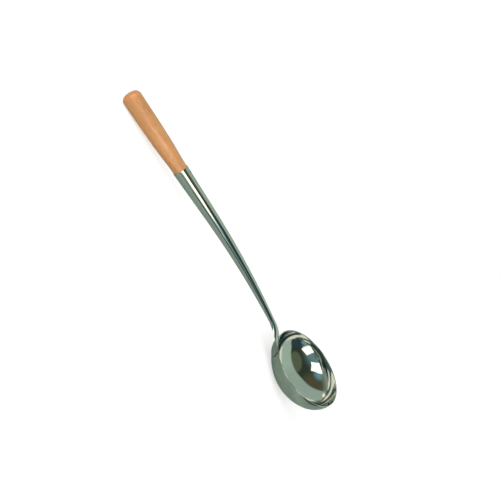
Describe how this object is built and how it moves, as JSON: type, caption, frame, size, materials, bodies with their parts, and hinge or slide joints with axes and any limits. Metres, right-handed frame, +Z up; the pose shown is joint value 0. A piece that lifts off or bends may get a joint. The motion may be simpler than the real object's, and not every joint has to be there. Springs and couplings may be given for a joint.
{
  "type": "soup ladle",
  "caption": "Soup ladle with a deep oval steel bowl, a long gently arched shank of rolled sheet steel and a turned wooden grip.",
  "frame": {"origin": "centre of the bounding box's base, on the table the ladle lies on", "axes": "+X from the grip towards the bowl, +Y across the handle, +Z up from the table"},
  "size_m": [0.4311, 0.119, 0.061],
  "materials": {
    "bowl_steel": "polished",
    "shank_steel": "polished",
    "grip_wood": "waxed",
    "nail_steel": "darkened",
    "weld_steel": "dull"
  },
  "bodies": {
    "root": {"bowl": "bowl_steel", "shank": "shank_steel", "grip": "grip_wood", "grip_nail": "nail_steel", "weld_1": "weld_steel", "weld_2": "weld_steel", "weld_3": "weld_steel", "weld_4": "weld_steel"}
  },
  "joints": []
}
